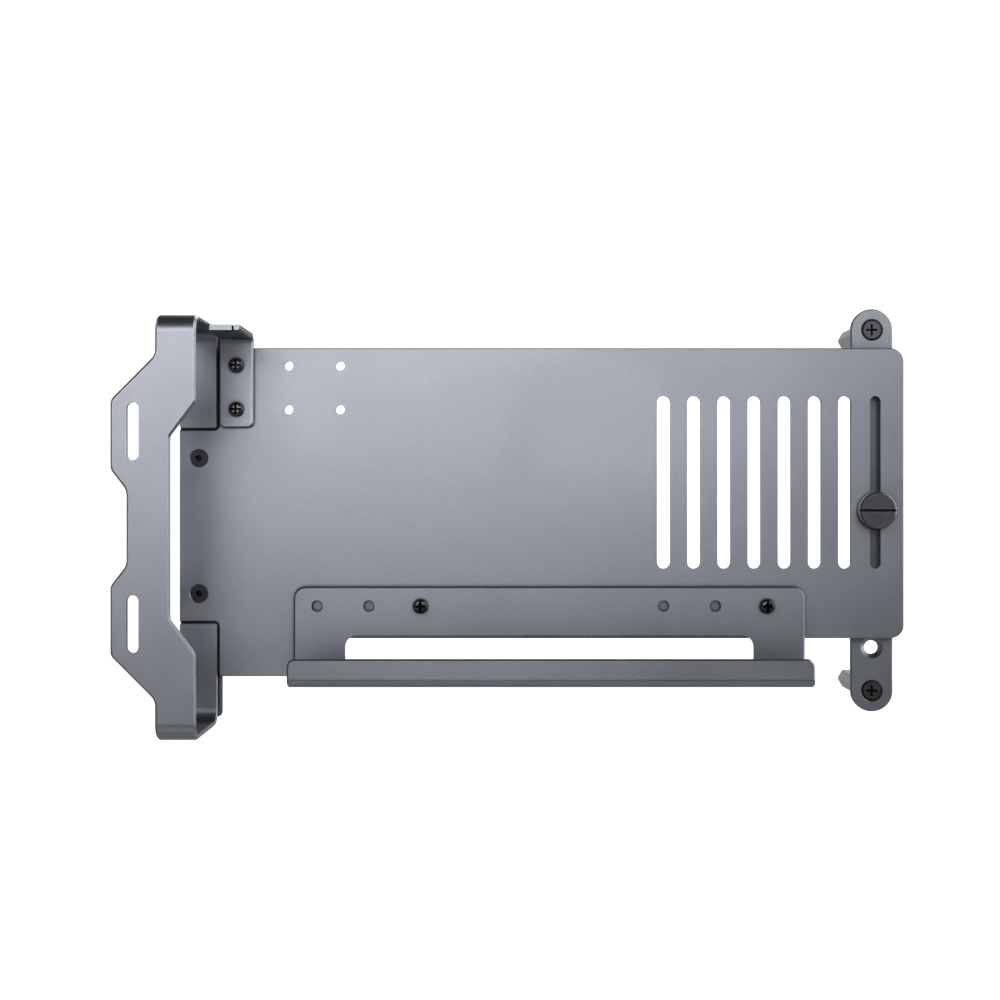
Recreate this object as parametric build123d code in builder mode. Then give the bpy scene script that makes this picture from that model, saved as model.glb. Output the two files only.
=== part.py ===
from build123d import *
import os

os.makedirs("parts", exist_ok=True)

# Sheet metal, all sizes in millimetres
sheet = 2.0
edge_break = 0.4
rounded_break = 0.6
polished_edge = 0.8

# Cover, seen from the front, mirrored above and below the middle
cover_height = 154.8
cover_left = -8.1
waist_left = -2.3
waist_half = 13.5
lug_bottom = 21.1
lug_top = 46.2
band_left = 8.0
band_right = 22.7
shoulder_drop = 15.0
window_edge = 13.4
window_half = 33.0
window_shoulder = 45.4
waist_corner = 5.5
lug_corner = 3.3
shoulder_corner = 5.0
window_corner = 3.0
frame_bend = 4.5
case_slot_width = 4.3
case_slot_length = 20.8
case_slot_spacing = 69.6

# Depth from the cover's face back to the base plate's face
reach = 43.4

# Base plate
plate_right = 289.5
plate_top = 69.0
plate_bottom = -43.7
plate_corner = 5.2
apron_bottom = -58.5
seam = 0.6
tab_half = 37.2
seam_corner = 1.2
vent_count = 7
vent_pitch = 11.73
vent_width = 5.2
vent_first = 196.1
slot_height = 67.1
slot_middle = 16.85

# Screws with a unified case thread
case_thread = 3.5
thread_gap = 0.02
seat_gap = 0.02
case_head = 5.8
case_head_height = 2.0
case_screw_length = 5.0
head_round = 1.5
tip_chamfer = 0.4
cross_bar = 0.95
cross_span = 4.0
cross_depth = 1.3
cross_slope = 16
flat_head = 6.8
flat_countersink = 7.4
flat_socket = 2.4
flat_socket_depth = 1.5
tab_screw_column = 15.5
tab_screw_half = 26.3

# Small screws from behind into the feet
frame_thread = 3.0
frame_head = 5.6
frame_socket = 2.0
frame_screw_column = 11.6
frame_screw_insets = [11.4, 27.4]

# Joint plate behind the feet
joint_right = 24.2
joint_half = 74.5
joint_corner = 2.0

# Ledge bracket for the card's slot tabs
ledge_gap = 1.0
ledge_width = 13.2
ledge_top = 74.4
ledge_foot_bottom = 38.1
ledge_reach = 34.0
ledge_bend = 1.75
ledge_corner = 2.2
ledge_nose_chamfer = 2.3
ledge_slit_width = 0.9
ledge_slit_length = 6.0
ledge_slit_inset = 1.9
ledge_screw_column = 30.4
ledge_screw_rows = [62.1, 45.1]
positions = 3
position_pitch = 20.0
card_pitch = 20.32
card_first = 5.8
clear_hole = 4.0

# Riser rail
rail_left = 52.6
rail_length = 198.1
rail_top = -23.6
rail_shelf_bottom = -60.45
rail_channel = 18.0
rail_lip_height = 10.8
rail_bend = 1.2
rail_corner = 4.5
rail_lip_corner = 3.0
rail_neck = 19.8
rail_window_top = -42.5
rail_window_bottom = -55.5
rail_window_corner = 4.6
rail_hole = 4.5
rail_hole_row = -31.1
rail_first_inset = 9.1
rail_last_inset = 14.8

# Strip, posts and thumb screw
strip_column = 278.3
strip_width = 16.45
strip_top_hole = 76.7
strip_bottom_hole = -64.8
fan_hole_pitch = 124.5
strip_hole = 5.0
strip_countersink = 8.8
strip_thread = 4.0
strip_head = 8.0
strip_cross_span = 4.4
strip_end_margin = 8.15
strip_screw_length = 12.0
slot_clearance = 0.1
turn_gap = 0.05
spacer_length = 3.5
spacer_width = 9.0
post_flats = 7.0
post_length = 42.0
post_chamfer = 0.9
post_bore_depth = 14.0
knob_row = 6.0
knob_width = 14.2
knob_height = 5.7
knob_chamfer = 0.6
knob_slot_width = 1.1
knob_slot_depth = 1.6
shank_overhang = 1.2

# Places that follow from the sizes above
plate_back = reach + sheet
plate_overlay = reach - sheet
flange_top = cover_height / 2
flange_middle = flange_top - sheet / 2
frame_fold = frame_bend + sheet / 2
fold_start = flange_top - frame_bend - sheet
band_shoulder = flange_top - shoulder_drop
frame_screw_upper_rows = [flange_top - inset for inset in frame_screw_insets]
frame_screw_rows = frame_screw_upper_rows + [-row for row in frame_screw_upper_rows]
foot_end = tab_half + seam
plate_left = band_right + seam
joint_back = plate_back + sheet
rail_right = rail_left + rail_length
rail_front = plate_overlay - rail_channel - sheet
ledge_left = band_right + ledge_gap
ledge_front = reach - ledge_reach
ledge_bend_start = ledge_top - sheet - ledge_bend
strip_front = plate_back + spacer_length
strip_back = strip_front + sheet
strip_spare_hole = strip_top_hole - fan_hole_pitch
strip_rows = {"upper": strip_top_hole, "lower": strip_bottom_hole}
position_span = position_pitch * (positions - 1)
first_rail_hole = rail_left + rail_first_inset
last_rail_hole = rail_right - rail_last_inset
rail_group_pitch = last_rail_hole - position_span - first_rail_hole
case_bore = case_thread / 2 + thread_gap
strip_bore = strip_thread / 2 + thread_gap
rail_screw_columns = {"left": first_rail_hole + position_span, "right": last_rail_hole}


def facing(depth, x=0.0, z=0.0):
    """Plane seen from the front at this depth, X to the right and Z up."""
    return Plane(origin=(x, depth, z), x_dir=(1, 0, 0), z_dir=(0, -1, 0))


def rim(face):
    """Edges of a face's outer outline."""
    return face.outer_wire().edges()


def flat_part(edge):
    """True for an edge of the side frame that isn't the start of a bend."""
    return abs(edge.center().Z) < fold_start - 0.01


# Side frame: one folded sheet with the cover, both flanges and both feet
half_cover = [
    (waist_left, waist_half),
    (cover_left, lug_bottom),
    (cover_left, lug_top),
    (band_left, band_shoulder),
    (band_left, fold_start),
    (band_right, fold_start),
    (band_right, window_shoulder),
    (window_edge, window_half),
]
lug_radii = [lug_corner, lug_corner]
window_radii = [window_corner, window_corner]
cover_radii = [waist_corner] + lug_radii + [shoulder_corner, 0, 0] + window_radii
cover_points = half_cover + [(x, -z) for x, z in reversed(half_cover)]

with BuildPart() as side_frame:
    with BuildSketch(facing(0)):
        with BuildLine():
            FilletPolyline(*cover_points, radius=cover_radii + cover_radii[::-1], close=True)
        make_face()
    extrude(amount=-sheet)
    with BuildSketch(Plane.YZ.offset(band_left)):
        with BuildLine():
            FilletPolyline(
                (sheet / 2, flange_top - 2 * frame_fold),
                (sheet / 2, flange_middle),
                (reach + sheet / 2, flange_middle),
                (reach + sheet / 2, foot_end),
                radius=frame_fold,
            )
        trace(line_width=sheet)
    extrude(amount=band_right - band_left)
    mirror(about=Plane.XY)
    foot_edges = side_frame.edges().filter_by(Axis.Y).filter_by(
        lambda edge: abs(abs(edge.center().Z) - foot_end) < 0.01
    )
    fillet(foot_edges, seam_corner)
    feet = side_frame.faces().filter_by(Axis.Y).filter_by(
        lambda face: abs(face.center().Y - reach) < 0.01
    )
    chamfer([edge for foot in feet for edge in rim(foot) if flat_part(edge)], edge_break)
    front = side_frame.faces().sort_by(Axis.Y)[0]
    front_bends = side_frame.edges().filter_by(GeomType.CIRCLE).filter_by(
        lambda edge: abs(edge.radius - frame_bend - sheet) < 0.01 and edge.center().Y < reach / 2
    )
    flange_edges = side_frame.edges().filter_by(Axis.Y).filter_by(
        lambda edge: abs(abs(edge.center().Z) - flange_top) < 0.01
    )
    outline = [edge for edge in rim(front) if flat_part(edge)]
    chamfer(outline + front_bends + flange_edges, polished_edge)
    with BuildSketch(facing(0)):
        with GridLocations(0, case_slot_spacing, 1, 2):
            SlotOverall(case_slot_length, case_slot_width, rotation=90)
    extrude(amount=-sheet, mode=Mode.SUBTRACT)
    with BuildSketch(facing(reach)):
        with Locations(*[(frame_screw_column, row) for row in frame_screw_rows]):
            Circle(frame_thread / 2 + thread_gap)
    extrude(amount=-sheet, mode=Mode.SUBTRACT)

side_frame.part.label = "side_frame"
export_step(side_frame.part, "parts/side_frame.step")

# Base plate: flat sheet with a tab between the feet
apron_right = rail_left + rail_neck / 2
vent_middle = vent_first + vent_pitch * (vent_count - 1) / 2
ledge_screw_middle = sum(ledge_screw_rows) / 2
ledge_screw_spacing = ledge_screw_rows[0] - ledge_screw_rows[1]
ledge_hole_middle = ledge_screw_column + position_span / 2

with BuildPart() as base_plate:
    with BuildSketch(facing(reach)):
        with Locations((plate_left, plate_bottom)):
            Rectangle(
                plate_right - plate_left, plate_top - plate_bottom, align=(Align.MIN, Align.MIN)
            )
        with Locations((plate_left, apron_bottom)):
            Rectangle(
                apron_right - plate_left, plate_bottom - apron_bottom, align=(Align.MIN, Align.MIN)
            )
        with Locations((band_left, 0)):
            Rectangle(plate_left - band_left, 2 * tab_half, align=(Align.MIN, Align.CENTER))
    extrude(amount=-sheet)
    upright = base_plate.edges().filter_by(Axis.Y)
    fillet(upright.group_by(Axis.X)[-1], plate_corner)
    inner_corners = upright.filter_by(
        lambda edge: abs(edge.center().X - plate_left) < 0.01
        and abs(abs(edge.center().Z) - tab_half) < 0.01
    )
    fillet(inner_corners, seam_corner + seam)
    chamfer(rim(base_plate.faces().sort_by(Axis.Y)[0]), edge_break)
    with BuildSketch(facing(reach)):
        with Locations((vent_middle, slot_middle)):
            with GridLocations(vent_pitch, 0, vent_count, 1):
                SlotOverall(slot_height, vent_width, rotation=90)
        with Locations((strip_column, slot_middle)):
            SlotOverall(slot_height, strip_thread + 2 * slot_clearance, rotation=90)
        with Locations((ledge_hole_middle, ledge_screw_middle)):
            with GridLocations(position_pitch, ledge_screw_spacing, positions, 2):
                Circle(case_bore)
        with Locations(*[(column, rail_hole_row) for column in rail_screw_columns.values()]):
            Circle(case_bore)
    extrude(amount=-sheet, mode=Mode.SUBTRACT)
    with Locations(facing(reach, tab_screw_column)):
        with GridLocations(0, 2 * tab_screw_half, 1, 2):
            CounterSinkHole(clear_hole / 2, flat_countersink / 2, depth=sheet)

base_plate.part.label = "base_plate"
export_step(base_plate.part, "parts/base_plate.step")

# Joint plate: backs the feet and the tab, tapped for the tab screws
with BuildPart() as joint_plate:
    with BuildSketch(facing(plate_back)):
        with Locations(((band_left + joint_right) / 2, 0)):
            RectangleRounded(joint_right - band_left, 2 * joint_half, joint_corner)
        with GridLocations(0, 2 * tab_screw_half, 1, 2):
            with Locations((tab_screw_column, 0)):
                Circle(case_bore, mode=Mode.SUBTRACT)
    extrude(amount=-sheet)
    chamfer(rim(joint_plate.faces().sort_by(Axis.Y)[-1]), edge_break)
    back = Plane(origin=(frame_screw_column, joint_back, 0), x_dir=(1, 0, 0), z_dir=(0, 1, 0))
    with Locations(back):
        with Locations(*[(0, -row) for row in frame_screw_rows]):
            CounterSinkHole(
                frame_thread / 2 + slot_clearance, frame_head / 2 + seat_gap, depth=sheet
            )

joint_plate.part.label = "joint_plate"
export_step(joint_plate.part, "parts/joint_plate.step")

# Ledge bracket: an L of sheet, tapped on top for the card's slot tabs
with BuildPart() as ledge_bracket:
    with BuildSketch(Plane.YZ.offset(ledge_left)):
        with BuildLine():
            FilletPolyline(
                (plate_overlay + sheet / 2, ledge_foot_bottom),
                (plate_overlay + sheet / 2, ledge_top - sheet / 2),
                (ledge_front, ledge_top - sheet / 2),
                radius=ledge_bend + sheet / 2,
            )
        trace(line_width=sheet)
    extrude(amount=ledge_width)
    foot_corners = ledge_bracket.edges().filter_by(Axis.Y).group_by(Axis.Z)[0]
    fillet(foot_corners, ledge_corner)
    nose_left = ledge_bracket.edges().filter_by(Axis.Z).group_by(Axis.Y)[0].sort_by(Axis.X)[0]
    chamfer(nose_left, ledge_nose_chamfer)
    foot = ledge_bracket.faces().filter_by(Axis.Y).filter_by(
        lambda face: abs(face.center().Y - plate_overlay) < 0.01
    )
    foot_outline = [edge for edge in rim(foot[0]) if edge.center().Z < ledge_bend_start - 0.01]
    chamfer(foot_outline, rounded_break)
    with BuildSketch(Plane.XY.offset(ledge_top)):
        with Locations((ledge_left + ledge_width - ledge_slit_inset, ledge_front)):
            Rectangle(ledge_slit_width, ledge_slit_length, align=(Align.MAX, Align.MIN))
    extrude(amount=-sheet, mode=Mode.SUBTRACT)
    with BuildSketch(Plane.XY.offset(ledge_top)):
        with Locations((ledge_screw_column, ledge_front + card_first)):
            Circle(case_bore)
        with Locations((ledge_screw_column, ledge_front + card_first + card_pitch)):
            Circle(case_bore)
    extrude(amount=-sheet, mode=Mode.SUBTRACT)
    with BuildSketch(facing(plate_overlay)):
        with Locations(*[(ledge_screw_column, row) for row in ledge_screw_rows]):
            Circle(clear_hole / 2)
    extrude(amount=-sheet, mode=Mode.SUBTRACT)

ledge_bracket.part.label = "ledge_bracket"
export_step(ledge_bracket.part, "parts/ledge_bracket.step")

# Riser rail: a channel with a low front lip and a window for the riser cable
with BuildPart() as riser_rail:
    with BuildSketch(Plane.YZ.offset(rail_left)):
        with BuildLine():
            FilletPolyline(
                (plate_overlay + sheet / 2, rail_top),
                (plate_overlay + sheet / 2, rail_shelf_bottom + sheet / 2),
                (rail_front + sheet / 2, rail_shelf_bottom + sheet / 2),
                (rail_front + sheet / 2, rail_shelf_bottom + rail_lip_height),
                radius=rail_bend + sheet / 2,
            )
        trace(line_width=sheet)
    extrude(amount=rail_length)
    upright = riser_rail.edges().filter_by(Axis.Y)
    top_corners = upright.group_by(Axis.Z)[-1]
    fillet(top_corners, rail_corner)
    lip_corners = riser_rail.edges().filter_by(Axis.Y).filter_by(
        lambda edge: edge.center().Y < rail_front + sheet
    )
    fillet(lip_corners.group_by(Axis.Z)[-1], rail_lip_corner)
    flat_faces = riser_rail.faces().filter_by(Axis.Y)
    plate_face = flat_faces.filter_by(lambda face: abs(face.center().Y - plate_overlay) < 0.01)
    lip_face = flat_faces.filter_by(lambda face: abs(face.center().Y - rail_front) < 0.01)
    chamfer(rim(plate_face[0]).sort_by(Axis.Z)[1:], rounded_break)
    chamfer(rim(lip_face[0]).sort_by(Axis.Z)[1:], rounded_break)
    with BuildSketch(facing(plate_overlay)):
        with Locations(
            ((rail_left + rail_right) / 2, (rail_window_top + rail_window_bottom) / 2)
        ):
            RectangleRounded(
                rail_length - 2 * rail_neck,
                rail_window_top - rail_window_bottom,
                rail_window_corner,
            )
        for group in range(2):
            for position in range(positions):
                column = first_rail_hole + group * rail_group_pitch + position * position_pitch
                with Locations((column, rail_hole_row)):
                    Circle(rail_hole / 2)
    extrude(amount=-sheet, mode=Mode.SUBTRACT)

riser_rail.part.label = "riser_rail"
export_step(riser_rail.part, "parts/riser_rail.step")


def round_edge(part, place):
    """The circular edge of a part that lies nearest to a place."""
    return part.edges().filter_by(GeomType.CIRCLE).sort_by_distance(place)[0]


def cross_outline(face, span):
    """Outline of a cross recess on a screw's face."""
    with BuildSketch(face) as outline:
        Rectangle(span, cross_bar)
        Rectangle(cross_bar, span)
    return outline.sketch


def pan_screw(seat, head, height, thread, length):
    """Pan-head screw: the head stands on the seat, the shank goes in behind it."""
    with BuildPart() as screw:
        with BuildSketch(seat):
            Circle(head / 2)
        extrude(amount=height)
        fillet(round_edge(screw, seat.offset(height).origin), head_round)
        with BuildSketch(seat):
            Circle(thread / 2)
        extrude(amount=-length)
        chamfer(round_edge(screw, seat.offset(-length).origin), tip_chamfer)
        cross = cross_outline(seat.offset(height), cross_span)
        extrude(cross, amount=-cross_depth, taper=cross_slope, mode=Mode.SUBTRACT)
    return screw.part


def flat_screw(face, head, thread, length):
    """Countersunk screw: its head's top lies on the face, and it has no recess yet."""
    cone = (head - thread) / 2
    with BuildPart() as screw:
        with BuildSketch(face):
            Circle(head / 2)
        extrude(amount=-cone, taper=45)
        with BuildSketch(face.offset(-cone)):
            Circle(thread / 2)
        extrude(amount=cone - length)
        chamfer(round_edge(screw, face.offset(-length).origin), tip_chamfer)
    return screw.part


# Ledge screws: pan heads through the ledge's foot into the base plate
for name, row in zip(["upper", "lower"], ledge_screw_rows):
    seat = facing(plate_overlay, ledge_screw_column, row)
    screw = pan_screw(seat, case_head, case_head_height, case_thread, case_screw_length)
    screw.label = f"ledge_screw_{name}"
    export_step(screw, f"parts/ledge_screw_{name}.step")

# Rail screws: the same screws through the rail into the base plate
for name, column in rail_screw_columns.items():
    seat = facing(plate_overlay, column, rail_hole_row)
    screw = pan_screw(seat, case_head, case_head_height, case_thread, case_screw_length)
    screw.label = f"rail_screw_{name}"
    export_step(screw, f"parts/rail_screw_{name}.step")

# Tab screws: sunk socket screws through the tab into the joint plate
tab_sink = (flat_countersink - flat_head) / 2 + seat_gap

for name, row in {"upper": tab_screw_half, "lower": -tab_screw_half}.items():
    face = facing(reach + tab_sink, tab_screw_column, row)
    with BuildPart() as tab_screw:
        add(flat_screw(face, flat_head, case_thread, 2 * sheet - tab_sink))
        with BuildSketch(face):
            RegularPolygon(flat_socket / 2, 6, major_radius=False)
        extrude(amount=-flat_socket_depth, mode=Mode.SUBTRACT)
    tab_screw.part.label = f"tab_screw_{name}"
    export_step(tab_screw.part, f"parts/tab_screw_{name}.step")

# Frame screws: from behind, through the joint plate into the tapped feet
for number, row in enumerate(frame_screw_rows, start=1):
    face = Plane(origin=(frame_screw_column, joint_back, row), x_dir=(1, 0, 0), z_dir=(0, 1, 0))
    with BuildPart() as frame_screw:
        add(flat_screw(face, frame_head, frame_thread, 2 * sheet))
        with BuildSketch(face):
            RegularPolygon(frame_socket / 2, 6, major_radius=False)
        extrude(amount=-flat_socket_depth, mode=Mode.SUBTRACT)
    frame_screw.part.label = f"frame_screw_{number}"
    export_step(frame_screw.part, f"parts/frame_screw_{number}.step")

# Support strip: round-ended, countersunk at its two posts and at one spare place
strip_length = strip_top_hole - strip_bottom_hole + 2 * strip_end_margin
strip_middle = (strip_top_hole + strip_bottom_hole) / 2

with BuildPart() as support_strip:
    with BuildSketch(facing(strip_front)):
        with Locations((strip_column, strip_middle)):
            SlotOverall(strip_length, strip_width, rotation=90)
        with Locations((strip_column, knob_row)):
            Circle(strip_thread / 2 + turn_gap, mode=Mode.SUBTRACT)
    extrude(amount=-sheet)
    chamfer(rim(support_strip.faces().sort_by(Axis.Y)[0]), edge_break)
    for row in [strip_top_hole, strip_spare_hole, strip_bottom_hole]:
        with Locations(facing(strip_front, strip_column, row)):
            CounterSinkHole(strip_hole / 2, strip_countersink / 2, depth=sheet)

support_strip.part.label = "support_strip"
export_step(support_strip.part, "parts/support_strip.step")

# Posts and their screws: hexagonal standoffs, tapped at both ends
strip_sink = (strip_countersink - strip_head) / 2 + seat_gap

for name, row in strip_rows.items():
    seat = facing(strip_back, strip_column, row)
    with BuildPart() as post:
        with BuildSketch(seat):
            Circle(post_flats / 3**0.5)
        extrude(amount=-post_length)
        chamfer(post.edges().filter_by(GeomType.CIRCLE), post_chamfer)
        with BuildSketch(seat):
            RegularPolygon(post_flats / 2, 6, major_radius=False)
        extrude(amount=-post_length, mode=Mode.INTERSECT)
        with BuildSketch(seat):
            Circle(strip_bore)
        extrude(amount=-post_bore_depth, mode=Mode.SUBTRACT)
        with BuildSketch(seat.offset(-post_length)):
            Circle(strip_bore)
        extrude(amount=post_bore_depth, mode=Mode.SUBTRACT)
        mouths = post.edges().filter_by(GeomType.CIRCLE).filter_by(
            lambda edge: abs(edge.radius - strip_bore) < 0.01
        )
        chamfer([mouths.sort_by(Axis.Y)[0], mouths.sort_by(Axis.Y)[-1]], strip_hole / 2 - strip_bore)
    post.part.label = f"post_{name}"
    export_step(post.part, f"parts/post_{name}.step")

    face = facing(strip_front + strip_sink, strip_column, row)
    with BuildPart() as strip_screw:
        add(flat_screw(face, strip_head, strip_thread, strip_screw_length))
        cross = cross_outline(face, strip_cross_span)
        extrude(cross, amount=-cross_depth, taper=cross_slope, mode=Mode.SUBTRACT)
    strip_screw.part.label = f"strip_screw_{name}"
    export_step(strip_screw.part, f"parts/strip_screw_{name}.step")

# Slide spacer: a plain bush that keeps the strip off the base plate
with BuildPart() as slide_spacer:
    with BuildSketch(facing(plate_back, strip_column, knob_row)):
        Circle(spacer_width / 2)
        Circle(strip_thread / 2 + turn_gap, mode=Mode.SUBTRACT)
    extrude(amount=-spacer_length)

slide_spacer.part.label = "slide_spacer"
export_step(slide_spacer.part, "parts/slide_spacer.step")

# Thumb screw: a smooth knob with a coin slot, its shank through the strip slot
shank_length = sheet + spacer_length + sheet + shank_overhang

with BuildPart() as thumb_screw:
    seat = facing(reach, strip_column, knob_row)
    with BuildSketch(seat):
        Circle(knob_width / 2)
    extrude(amount=knob_height)
    chamfer(thumb_screw.edges().filter_by(GeomType.CIRCLE), knob_chamfer)
    with BuildSketch(seat.offset(knob_height)):
        Rectangle(knob_width, knob_slot_width)
    extrude(amount=-knob_slot_depth, mode=Mode.SUBTRACT)
    with BuildSketch(seat):
        Circle(strip_thread / 2)
    extrude(amount=-shank_length)
    chamfer(round_edge(thumb_screw, seat.offset(-shank_length).origin), tip_chamfer)

thumb_screw.part.label = "thumb_screw"
export_step(thumb_screw.part, "parts/thumb_screw.step")
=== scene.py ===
from math import pi, radians

import bmesh
import bpy
from mathutils import Matrix, Vector


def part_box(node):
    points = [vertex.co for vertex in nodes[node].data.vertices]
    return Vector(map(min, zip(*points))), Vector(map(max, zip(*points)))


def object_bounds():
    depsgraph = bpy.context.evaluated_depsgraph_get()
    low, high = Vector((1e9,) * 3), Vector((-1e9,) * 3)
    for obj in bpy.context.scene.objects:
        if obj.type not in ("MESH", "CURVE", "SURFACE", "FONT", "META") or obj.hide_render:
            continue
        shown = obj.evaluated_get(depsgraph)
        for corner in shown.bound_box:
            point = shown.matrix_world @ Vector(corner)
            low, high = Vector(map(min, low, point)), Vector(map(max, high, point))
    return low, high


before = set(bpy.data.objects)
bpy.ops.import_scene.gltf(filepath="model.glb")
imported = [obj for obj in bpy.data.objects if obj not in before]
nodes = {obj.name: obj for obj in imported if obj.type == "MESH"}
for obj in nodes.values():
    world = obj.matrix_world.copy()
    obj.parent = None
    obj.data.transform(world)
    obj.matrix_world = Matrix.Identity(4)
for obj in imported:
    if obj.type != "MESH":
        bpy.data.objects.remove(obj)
cad_low, cad_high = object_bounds()

# Side frame: the slotted cover with its two flanges and feet, folded from one aluminium
# sheet, bead-blasted and anodised space grey. Its front outline is cut bright
# afterwards, so the narrow bevel around the cover shines.
SPACE_GREY = (0.286, 0.300, 0.340)
WORN_GREY = (0.55, 0.57, 0.62)
# Painted shade: near black laid into the colour in narrow gaps between parts and, more softly,
# deep in the folded frame.
PAINTED_SHADE_BLACK = (0.012, 0.012, 0.014)
JOINT_SHADE_REACH = 0.0012
FOLD_SHADE_REACH = 0.045


def new_group(name, inputs, outputs):
    """Empty shader node group with the named sockets and their resting values."""
    group = bpy.data.node_groups.new(name, "ShaderNodeTree")
    for label, kind, value in inputs:
        socket = group.interface.new_socket(label, in_out="INPUT", socket_type=kind)
        socket.default_value = value
    for label, kind in outputs:
        group.interface.new_socket(label, in_out="OUTPUT", socket_type=kind)
    return group


def add_node(tree, kind, settings=(), **values):
    """Node of this kind, with its settings and the resting values of its inputs."""
    node = tree.nodes.new("ShaderNode" + kind)
    for label, value in dict(settings).items():
        setattr(node, label, value)
    for label, value in values.items():
        node.inputs[label.replace("_", " ")].default_value = value
    return node


def noise(tree, scale, detail, roughness=0.5):
    """Noise over the object's own coordinates."""
    place = add_node(tree, "TexCoord")
    cloud = add_node(tree, "TexNoise", Scale=scale, Detail=detail, Roughness=roughness)
    tree.links.new(place.outputs["Object"], cloud.inputs["Vector"])
    return cloud.outputs["Fac"]


def spread(tree, value, given, wanted):
    """Maps a given range of a value onto the wanted range and clamps it."""
    span = add_node(tree, "MapRange")
    for side, ends in {"From": given, "To": wanted}.items():
        span.inputs[f"{side} Min"].default_value, span.inputs[f"{side} Max"].default_value = ends
    tree.links.new(value, span.inputs["Value"])
    return span.outputs["Result"]


def calculate(tree, operation, first, second):
    """Math node on two values, each a socket or a number."""
    sum_node = add_node(tree, "Math", {"operation": operation})
    for socket, value in zip(sum_node.inputs, [first, second]):
        if isinstance(value, (int, float)):
            socket.default_value = value
        else:
            tree.links.new(value, socket)
    return sum_node.outputs["Value"]


def blend_colours(tree, share, first, second):
    """Mix of two colours by a share; each colour is a socket or a plain colour."""
    mix = add_node(tree, "Mix", {"data_type": "RGBA"})
    share_input, first_input, second_input, colour_output = 0, 6, 7, 2
    for index, value in zip([first_input, second_input], [first, second]):
        if isinstance(value, bpy.types.NodeSocket):
            tree.links.new(value, mix.inputs[index])
        else:
            mix.inputs[index].default_value = (*value, 1)
    tree.links.new(share, mix.inputs[share_input])
    return mix.outputs[colour_output]


def make_edge_wear():
    """Mask that is 1 where the surface turns sharply, broken up by fine noise."""
    flat_to_sharp = (0.99, 0.86)
    smooth_to_rubbed = (0.35, 0.6)
    least_rubbed = 0.35
    group = new_group(
        "edge_wear",
        [("Width", "NodeSocketFloat", 0.0003), ("Amount", "NodeSocketFloat", 1.0)],
        [("Mask", "NodeSocketFloat")],
    )
    start, end = group.nodes.new("NodeGroupInput"), group.nodes.new("NodeGroupOutput")
    rounded = add_node(group, "Bevel", {"samples": 4})
    group.links.new(start.outputs["Width"], rounded.inputs["Radius"])
    flat = add_node(group, "NewGeometry")
    turn = add_node(group, "VectorMath", {"operation": "DOT_PRODUCT"})
    group.links.new(rounded.outputs["Normal"], turn.inputs[0])
    group.links.new(flat.outputs["Normal"], turn.inputs[1])
    bent = spread(group, turn.outputs["Value"], flat_to_sharp, (0, 1))
    speckle = noise(group, scale=900, detail=3)
    broken = spread(group, speckle, smooth_to_rubbed, (least_rubbed, 1))
    worn = calculate(group, "MULTIPLY", bent, broken)
    mask = calculate(group, "MULTIPLY", worn, start.outputs["Amount"])
    group.links.new(mask, end.inputs["Mask"])
    return group


def make_blasted_grain():
    """Fine pits and soft clouds of a bead-blasted surface."""
    wide_range, narrow_range = (0.25, 0.75), (0.3, 0.7)
    grain_shade, cloud_shade = (0.86, 1.12), (-0.035, 0.035)
    grain_polish, cloud_polish = (0.03, -0.03), (-0.04, 0.05)
    group = new_group(
        "blasted_grain",
        [
            ("Colour", "NodeSocketColor", (0.3, 0.3, 0.3, 1)),
            ("Roughness", "NodeSocketFloat", 0.4),
            ("Grain Scale", "NodeSocketFloat", 2600.0),
            ("Cloud Scale", "NodeSocketFloat", 24.0),
        ],
        [
            ("Colour", "NodeSocketColor"),
            ("Roughness", "NodeSocketFloat"),
            ("Height", "NodeSocketFloat"),
        ],
    )
    start, end = group.nodes.new("NodeGroupInput"), group.nodes.new("NodeGroupOutput")
    place = add_node(group, "TexCoord")
    grain = add_node(group, "TexNoise", Detail=2.0, Roughness=0.6)
    cloud = add_node(group, "TexNoise", Detail=4.0, Roughness=0.55)
    for texture, scale in [(grain, "Grain Scale"), (cloud, "Cloud Scale")]:
        group.links.new(place.outputs["Object"], texture.inputs["Vector"])
        group.links.new(start.outputs[scale], texture.inputs["Scale"])
    shade = calculate(
        group,
        "ADD",
        spread(group, grain.outputs["Fac"], wide_range, grain_shade),
        spread(group, cloud.outputs["Fac"], narrow_range, cloud_shade),
    )
    tint = add_node(group, "VectorMath", {"operation": "SCALE"})
    group.links.new(start.outputs["Colour"], tint.inputs[0])
    group.links.new(shade, tint.inputs["Scale"])
    group.links.new(tint.outputs["Vector"], end.inputs["Colour"])
    rubbed = spread(group, cloud.outputs["Fac"], narrow_range, cloud_polish)
    pitted = spread(group, grain.outputs["Fac"], narrow_range, grain_polish)
    change = calculate(group, "ADD", rubbed, pitted)
    dull = calculate(group, "ADD", start.outputs["Roughness"], change)
    group.links.new(dull, end.inputs["Roughness"])
    group.links.new(grain.outputs["Fac"], end.inputs["Height"])
    return group


def place_group(tree, group, **values):
    """Node that stands for a group in a material, with that material's own values."""
    node = tree.nodes.new("ShaderNodeGroup")
    node.node_tree = group
    for label, value in values.items():
        node.inputs[label.replace("_", " ")].default_value = value
    return node


def start_material(name, metallic):
    """New material with its node tree and a Principled shader of this metallic share."""
    material = bpy.data.materials.new(name)
    material.use_nodes = True
    shader = material.node_tree.nodes["Principled BSDF"]
    shader.inputs["Metallic"].default_value = metallic
    return material, material.node_tree, shader


def add_bump(tree, shader, height, strength, distance):
    """Bump on the shader's normal from a height."""
    bump = add_node(tree, "Bump", Strength=strength, Distance=distance)
    tree.links.new(height, bump.inputs["Height"])
    tree.links.new(bump.outputs["Normal"], shader.inputs["Normal"])


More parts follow.
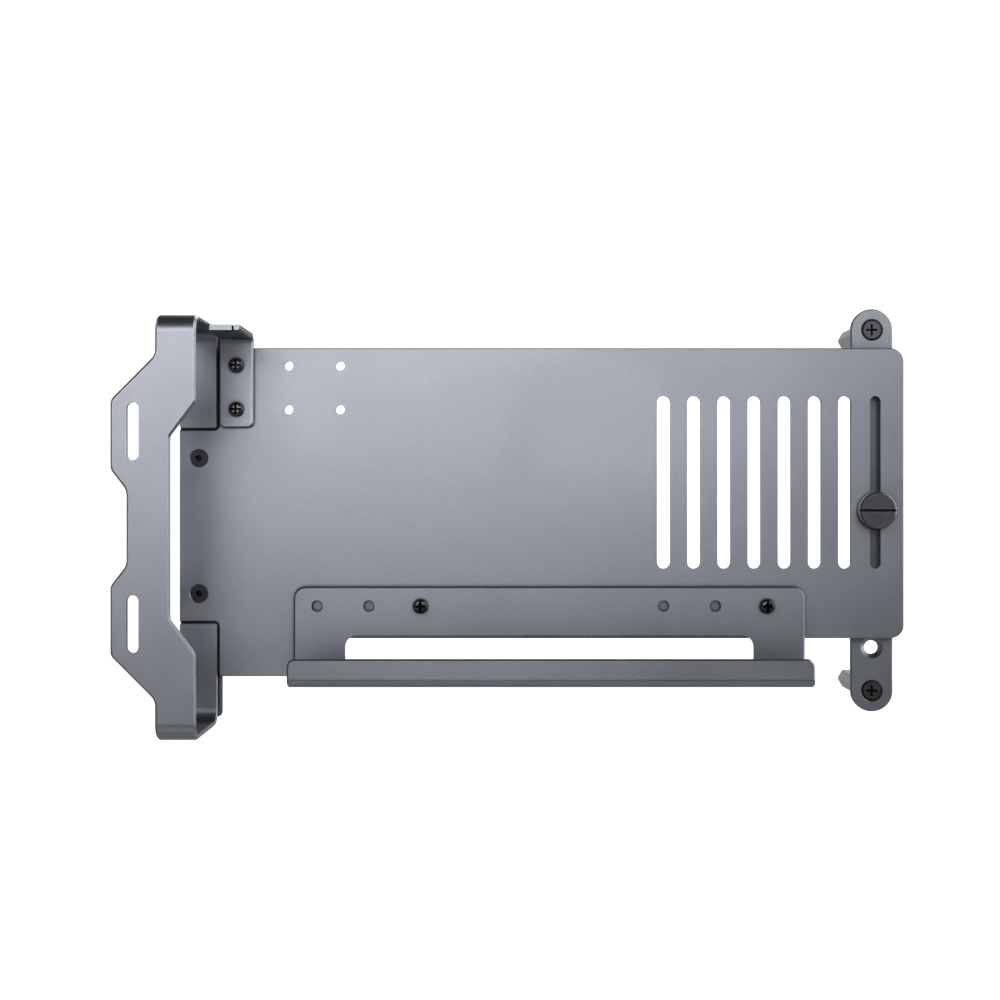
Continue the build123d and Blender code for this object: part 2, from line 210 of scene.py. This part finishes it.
def painted_shade_share(tree, reach, closed_to_clear, least=0.0):
    """Painted shade: a share from ambient occlusion that falls from 1 to the least in gaps and
    recesses narrower than the reach.
    """
    depth = add_node(tree, "AmbientOcclusion", {"samples": 6}, Distance=reach)
    return spread(tree, depth.outputs["AO"], closed_to_clear, (least, 1))


edge_wear = make_edge_wear()
blasted_grain = make_blasted_grain()


def anodised(name, colour, roughness, edge_width, edge_amount):
    """Bead-blasted, anodised aluminium with brighter worn edges, and painted shade in narrow gaps
    and deep in the folds.
    """
    material, tree, shader = start_material(name, metallic=0.97)
    grain = place_group(tree, blasted_grain, Colour=(*colour, 1), Roughness=roughness)
    wear = place_group(tree, edge_wear, Width=edge_width, Amount=edge_amount)
    painted = blend_colours(tree, wear.outputs["Mask"], grain.outputs["Colour"], WORN_GREY)
    # Painted shade: contact lines and narrow gaps go near black, and the folded frame darkens deep
    # in its folds.
    fold_shade = painted_shade_share(tree, FOLD_SHADE_REACH, closed_to_clear=(0.4, 0.8), least=0.42)
    joint_shade = painted_shade_share(tree, JOINT_SHADE_REACH, closed_to_clear=(0.52, 0.78))
    clear = calculate(tree, "MULTIPLY", joint_shade, fold_shade)
    shaded = blend_colours(tree, clear, PAINTED_SHADE_BLACK, painted)
    tree.links.new(shaded, shader.inputs["Base Color"])
    worn_polish = -0.16
    polish = calculate(tree, "MULTIPLY", wear.outputs["Mask"], worn_polish)
    smooth = calculate(tree, "ADD", grain.outputs["Roughness"], polish)
    tree.links.new(smooth, shader.inputs["Roughness"])
    add_bump(tree, shader, grain.outputs["Height"], strength=0.35, distance=0.00003)
    return material


def dress(node_name, material):
    """Gives a CAD node this material all over."""
    mesh = nodes[node_name].data
    mesh.materials.clear()
    mesh.materials.append(material)


bright_cut = anodised(
    "bright_cut_anodised", SPACE_GREY, roughness=0.37, edge_width=0.0005, edge_amount=0.9
)
dress("side_frame", bright_cut)

# Base plate: flat sheet of the same aluminium, laser-cut with its vents, the strip's
# slot and the tapped holes, tumbled to break its edges and then blasted and anodised.
tumbled = anodised(
    "tumbled_anodised", SPACE_GREY, roughness=0.38, edge_width=0.0003, edge_amount=0.6
)
dress("base_plate", tumbled)

# Joint plate: backing strip of the same sheet, screwed behind the two feet and the tab
# of the base plate, which it holds together.
dress("joint_plate", tumbled)

# Tab screws: flush hexagon socket screws of blackened steel, driven from the front
# through the tab of the base plate into the joint plate.
BLACK_OXIDE = (0.052, 0.053, 0.057)
RUBBED_OXIDE = (0.20, 0.20, 0.21)
# Painted shade: near black laid into screw sockets, cross recesses and the knob's slot.
PAINTED_RECESS_SHADE = (0.002, 0.002, 0.002)
RECESS_SHADE_REACH = 0.0015
RECESS_SHADE_RANGE = (0.6, 0.9)


def distance_from(tree, centre):
    """Distance of a point on the surface from a fixed point."""
    place = add_node(tree, "TexCoord")
    away = add_node(tree, "VectorMath", {"operation": "DISTANCE"})
    tree.links.new(place.outputs["Object"], away.inputs[0])
    away.inputs[1].default_value = centre
    return away.outputs["Value"]


def painted_rim_shadow(tree, sunk):
    """Painted shadow: a share that falls to near nothing past the lit round of a countersunk head,
    round a centre set a little right and up, so that the dark rim is thicker at the lower left.
    """
    lit_radius, rim_radius, rim_shadow_share = 0.0033, 0.0036, 0.02
    aside, above = 0.0002, 0.0001
    low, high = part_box(sunk)
    head_top = ((low.x + high.x) / 2 + aside, low.y, (low.z + high.z) / 2 + above)
    return spread(tree, distance_from(tree, head_top), (lit_radius, rim_radius), (1, rim_shadow_share))


def blackened(name, colour, roughness, sheen, worn, sunk=None):
    """Blackened steel with a thin coat of oil and rubbed edges, with painted shade in its
    recesses, where the coat is taken away too; a sunk screw also gets a painted shadow as a dark
    rim.
    """
    material, tree, shader = start_material(name, metallic=0.9)
    grain = place_group(
        tree, blasted_grain, Colour=(*colour, 1), Roughness=roughness, Grain_Scale=5200.0,
        Cloud_Scale=420.0,
    )
    wear = place_group(tree, edge_wear, Width=0.00015, Amount=0.55)
    painted = blend_colours(tree, wear.outputs["Mask"], grain.outputs["Colour"], worn)
    # Painted shade: the recesses go near black and lose their coat.
    clear = painted_shade_share(tree, RECESS_SHADE_REACH, RECESS_SHADE_RANGE, least=0.25 if sunk else 0)
    if sunk:
        clear = calculate(tree, "MULTIPLY", clear, painted_rim_shadow(tree, sunk))
    shaded = blend_colours(tree, clear, PAINTED_RECESS_SHADE, painted)
    tree.links.new(shaded, shader.inputs["Base Color"])
    tree.links.new(grain.outputs["Roughness"], shader.inputs["Roughness"])
    oil_coat_outside_shade = calculate(tree, "MULTIPLY", clear, sheen)
    tree.links.new(oil_coat_outside_shade, shader.inputs["Coat Weight"])
    shader.inputs["Coat Roughness"].default_value = 0.12
    add_bump(tree, shader, grain.outputs["Height"], strength=0.2, distance=0.00001)
    return material


socket_black = blackened(
    "black_oxide_socket", BLACK_OXIDE, roughness=0.36, sheen=0.1, worn=RUBBED_OXIDE
)
for place in ["upper", "lower"]:
    dress(f"tab_screw_{place}", socket_black)

# Frame screws: four small flat-head screws of the same blackened steel, driven from
# behind through the joint plate into the tapped feet.
for number in range(1, 5):
    dress(f"frame_screw_{number}", socket_black)

# Ledge bracket: small L folded from the same sheet, which carries the card's slot
# tabs. It stands out to the front and is screwed to the base plate by its foot.
dress("ledge_bracket", bright_cut)

# Ledge screws: pan-head case screws with a cross recess, of bright black zinc-plated
# steel, through the ledge's foot into the tapped base plate.
BLACK_ZINC = (0.060, 0.061, 0.065)
RUBBED_ZINC = (0.16, 0.16, 0.17)
cross_black = blackened(
    "black_zinc_cross", BLACK_ZINC, roughness=0.22, sheen=0.5, worn=RUBBED_ZINC
)
for place in ["upper", "lower"]:
    dress(f"ledge_screw_{place}", cross_black)

# Riser rail: long channel folded from the same sheet, with a window for the riser
# cable and a low lip in front. It holds the riser card in its trough.
dress("riser_rail", bright_cut)

# Rail screws: the same case screws in bright black zinc, one near each end of the rail,
# through its upright into the tapped base plate.
for place in ["left", "right"]:
    dress(f"rail_screw_{place}", cross_black)

# Support strip: round-ended strip of the same sheet behind the right edge of the base
# plate, countersunk for the screws that hold its two posts.
dress("support_strip", tumbled)

# Posts: hexagonal standoffs of drawn steel, nickel-plated, turned to a bevel at both
# ends and tapped, one behind each end of the strip.
NICKEL = (0.62, 0.63, 0.65)
DRAWN_NICKEL = (0.48, 0.49, 0.51)
BARE_NICKEL = (0.78, 0.78, 0.80)


def make_drawn_steel():
    """Nickel over drawn bar: fine lines that run along the post."""
    lines_across, lines_along = 4200, 160
    material, tree, shader = start_material("nickel_drawn_bar", metallic=1.0)
    place = add_node(tree, "TexCoord")
    stretch = add_node(tree, "Mapping", Scale=(lines_across, lines_along, lines_across))
    tree.links.new(place.outputs["Object"], stretch.inputs["Vector"])
    lines = add_node(tree, "TexNoise", Scale=1.0, Detail=3.0, Roughness=0.6)
    tree.links.new(stretch.outputs["Vector"], lines.inputs["Vector"])
    wear = place_group(tree, edge_wear, Width=0.0002, Amount=0.7)
    shade = blend_colours(tree, lines.outputs["Fac"], DRAWN_NICKEL, NICKEL)
    painted = blend_colours(tree, wear.outputs["Mask"], shade, BARE_NICKEL)
    tree.links.new(painted, shader.inputs["Base Color"])
    dull = spread(tree, lines.outputs["Fac"], given=(0.3, 0.7), wanted=(0.24, 0.36))
    tree.links.new(dull, shader.inputs["Roughness"])
    add_bump(tree, shader, lines.outputs["Fac"], strength=0.25, distance=0.00001)
    return material


nickel_bar = make_drawn_steel()
for place in ["upper", "lower"]:
    dress(f"post_{place}", nickel_bar)

# Strip screws: countersunk cross-recess screws of dark grey steel, from the front
# through the strip into the posts.
SCREW_GREY = (0.100, 0.102, 0.108)
RUBBED_GREY = (0.30, 0.30, 0.32)
# Each gets a painted shadow as a dark rim round its head, thicker at the lower left.
for place in ["upper", "lower"]:
    screw = f"strip_screw_{place}"
    dark_steel = blackened(
        f"dark_steel_{place}", SCREW_GREY, roughness=0.32, sheen=0.15, worn=RUBBED_GREY, sunk=screw
    )
    dress(screw, dark_steel)

# Slide spacer: plain turned bush of the same anodised aluminium, threaded over the
# thumb screw between the base plate and the strip.
dress("slide_spacer", tumbled)

# Thumb screw: turned knob with a coin slot, anodised near black, whose shank runs
# through the base plate's slot and the bush and clamps the strip.
KNOB_GREY = (0.094, 0.091, 0.106)
CUT_GREY = (0.50, 0.50, 0.53)


def make_turned_knob():
    """Turned face with fine rings about the knob's axis, a bright-cut side wall, and painted shade
    in the coin slot.
    """
    front_to_side = (0.5, 0.3)
    worn_to_cut, least_cut = (0.42, 0.56), 0.1
    cut_polish, ring_polish = -0.2, (-0.03, 0.03)
    material, tree, shader = start_material("turned_black_knob", metallic=0.85)
    low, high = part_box("thumb_screw")
    middle = (low + high) / 2
    place = add_node(tree, "TexCoord")
    centre = add_node(tree, "Mapping", Location=(-middle.x, 0, -middle.z))
    tree.links.new(place.outputs["Object"], centre.inputs["Vector"])
    rings = add_node(
        tree, "TexWave", {"wave_type": "RINGS", "rings_direction": "Y"},
        Scale=1500.0, Distortion=0.6, Detail=2.0,
    )
    tree.links.new(centre.outputs["Vector"], rings.inputs["Vector"])
    grain = place_group(
        tree, blasted_grain, Colour=(*KNOB_GREY, 1), Roughness=0.36, Grain_Scale=4200.0,
        Cloud_Scale=260.0,
    )
    wear = place_group(tree, edge_wear, Width=0.0004, Amount=0.9)
    facing = add_node(tree, "NewGeometry")
    axes = add_node(tree, "SeparateXYZ")
    tree.links.new(facing.outputs["Normal"], axes.inputs["Vector"])
    frontal = calculate(tree, "ABSOLUTE", axes.outputs["Y"], 0)
    side = spread(tree, frontal, front_to_side, (0, 1))
    knurl = spread(tree, noise(tree, scale=1500, detail=0), worn_to_cut, (least_cut, 1))
    side_cut = calculate(tree, "MULTIPLY", side, knurl)
    cut = calculate(tree, "MAXIMUM", wear.outputs["Mask"], side_cut)
    painted = blend_colours(tree, cut, grain.outputs["Colour"], CUT_GREY)
    # Painted shade: the coin slot and other recesses go near black.
    clear = painted_shade_share(tree, RECESS_SHADE_REACH, RECESS_SHADE_RANGE)
    shaded = blend_colours(tree, clear, PAINTED_RECESS_SHADE, painted)
    tree.links.new(shaded, shader.inputs["Base Color"])
    smooth = calculate(tree, "MULTIPLY", cut, cut_polish)
    ringed = spread(tree, rings.outputs["Fac"], (0, 1), ring_polish)
    turned = calculate(tree, "ADD", smooth, ringed)
    dull = calculate(tree, "ADD", grain.outputs["Roughness"], turned)
    tree.links.new(dull, shader.inputs["Roughness"])
    add_bump(tree, shader, rings.outputs["Fac"], strength=0.2, distance=0.00002)
    return material


dress("thumb_screw", make_turned_knob())

# Studio floor: wide pale paper on the ground, well below the bracket, which hangs free
# in the picture as in the photograph. Its glow fades outwards into the pale room.
PAPER_GREY = (0.5, 0.5, 0.5)
FLOOR_HEIGHT = -0.8
FLOOR_REACH = 20
ROOM_PALE = 0.9
ROOM_MIRRORED = 0.03


def seen_share(tree, mirrored):
    """1 for the camera and for rays through glass, and the mirrored share in reflections."""
    ray = add_node(tree, "LightPath")
    gloss = calculate(tree, "MULTIPLY", ray.outputs["Is Glossy Ray"], mirrored)
    seen = calculate(tree, "MAXIMUM", ray.outputs["Is Camera Ray"], gloss)
    return calculate(tree, "MAXIMUM", seen, ray.outputs["Is Transmission Ray"])


def studio_paper(name, centre, near, far, glow, mirrored):
    """Matt paper that glows about a centre, seen in mirrors at a share of its glow."""
    material, tree, shader = start_material(name, metallic=0.0)
    shader.inputs["Base Color"].default_value = (*PAPER_GREY, 1)
    shader.inputs["Roughness"].default_value = 0.9
    shader.inputs["Specular IOR Level"].default_value = 0.1
    shader.inputs["Emission Color"].default_value = (1, 1, 1, 1)
    fade = spread(tree, distance_from(tree, centre), (near, far), (glow, ROOM_PALE))
    strength = calculate(tree, "MULTIPLY", seen_share(tree, mirrored), fade)
    tree.links.new(strength, shader.inputs["Emission Strength"])
    return material


def stage_sheet(name, low, high, material):
    """Flat rectangle between two corners, lying or upright, as part of the stage."""
    least_length = 1e-6
    mesh = bpy.data.meshes.new(name)
    shape = bmesh.new()
    bmesh.ops.create_grid(shape, x_segments=1, y_segments=1, size=0.5)
    size, middle = high - low, (high + low) / 2
    if size.y == 0:
        upright = Matrix.Rotation(pi / 2, 3, "X")
        bmesh.ops.rotate(shape, verts=shape.verts, cent=(0, 0, 0), matrix=upright)
    lengths = [max(length, least_length) for length in size]
    bmesh.ops.scale(shape, vec=lengths, verts=shape.verts)
    bmesh.ops.translate(shape, vec=middle, verts=shape.verts)
    shape.to_mesh(mesh)
    shape.free()
    mesh.materials.append(material)
    piece = bpy.data.objects.new(name, mesh)
    bpy.context.scene.collection.objects.link(piece)


floor_paper = studio_paper(
    "floor_paper",
    centre=(0.13, 0.3, FLOOR_HEIGHT),
    near=0.6,
    far=3.0,
    glow=0.62,
    mirrored=ROOM_MIRRORED,
)
floor_left = Vector((-FLOOR_REACH, -FLOOR_REACH, FLOOR_HEIGHT))
floor_right = Vector((FLOOR_REACH, FLOOR_REACH, FLOOR_HEIGHT))
stage_sheet("floor", floor_left, floor_right, floor_paper)

# Backdrop: white paper that stands on the floor behind the bracket and gives the
# photograph's white background. It glows most where the camera looks.
BACKDROP_PLACE = 1.35
BACKDROP_REACH = 4
BACKDROP_TOP = 3
CAMERA_ACROSS = 0.1325
white_paper = studio_paper(
    "white_paper",
    centre=(CAMERA_ACROSS, BACKDROP_PLACE, 0.0),
    near=0.9,
    far=2.4,
    glow=1.0,
    mirrored=0.06,
)
backdrop_low = Vector((-BACKDROP_REACH, BACKDROP_PLACE, FLOOR_HEIGHT))
backdrop_high = Vector((BACKDROP_REACH, BACKDROP_PLACE, BACKDROP_TOP))
stage_sheet("backdrop", backdrop_low, backdrop_high, white_paper)

# Studio lamps: long strips in front at three heights and one at the right for the faces,
# a low one for the lower bends, a tall panel at the right for the right-hand edges, and
# panels at the corners and above the back for the other views.
bracket_middle = (cad_low + cad_high) / 2


def soft_lamp(name, place, width, height, power):
    """Rectangular area lamp that points from its place to the bracket's middle."""
    lamp = bpy.data.lights.new(name, "AREA")
    lamp.shape = "RECTANGLE"
    lamp.size = width
    lamp.size_y = height
    lamp.energy = power
    holder = bpy.data.objects.new(name, lamp)
    holder.location = place
    holder.rotation_euler = (bracket_middle - Vector(place)).to_track_quat("-Z", "Y").to_euler()
    bpy.context.scene.collection.objects.link(holder)


soft_lamp("level_strip", (-0.1, -1.25, 0.12), width=1.2, height=0.12, power=2.9)
soft_lamp("key_strip", (-0.1, -1.17, 0.44), width=1.2, height=0.14, power=3.7)
soft_lamp("high_strip", (-0.1, -1.08, 0.62), width=1.2, height=0.14, power=0.9)
soft_lamp("right_key", (0.7, -1.05, 0.45), width=0.5, height=0.14, power=1.3)
soft_lamp("low_strip", (0.1, -0.72, -0.75), width=0.8, height=0.12, power=0.25)
soft_lamp("right_panel", (1.2, 0.05, 0.38), width=0.65, height=1.35, power=8.0)
soft_lamp("left_front", (-0.85, -1.1, -0.6), width=0.7, height=0.7, power=2.0)
soft_lamp("right_front", (1.4, -0.85, 0.1), width=0.7, height=0.9, power=0.6)
soft_lamp("back_left", (-1.1, 0.9, 0.2), width=0.7, height=0.9, power=5.0)
soft_lamp("back_right", (1.4, 0.9, 0.0), width=0.7, height=0.9, power=6.0)
soft_lamp("back_lamp", (0.3, 1.1, 0.9), width=1.0, height=0.5, power=6.0)

# Room: the studio around the paper, pale to the camera and almost dark to the metal,
# because the photograph's light comes from its lamps alone.
ROOM_GREY = 0.02
world = bpy.data.worlds.new("studio")
world.use_nodes = True
room = world.node_tree
room_seen = spread(room, seen_share(room, ROOM_MIRRORED), (0, 1), (ROOM_GREY, ROOM_PALE))
room.links.new(room_seen, room.nodes["Background"].inputs["Strength"])
room.nodes["Background"].inputs["Color"].default_value = (1, 1, 1, 1)
bpy.context.scene.world = world
bpy.context.scene.view_settings.view_transform = "Standard"

# Camera: straight in front of the bracket at the photograph's distance, level and with
# the photograph's lens.
camera_data = bpy.data.cameras.new("camera")
camera_data.lens = 55.6
camera_data.sensor_width = 36
camera = bpy.data.objects.new("camera", camera_data)
camera.location = (CAMERA_ACROSS, -0.5566, 0.0100)
camera.rotation_euler = (radians(90), 0, 0)
bpy.context.scene.collection.objects.link(camera)
bpy.context.scene.camera = camera
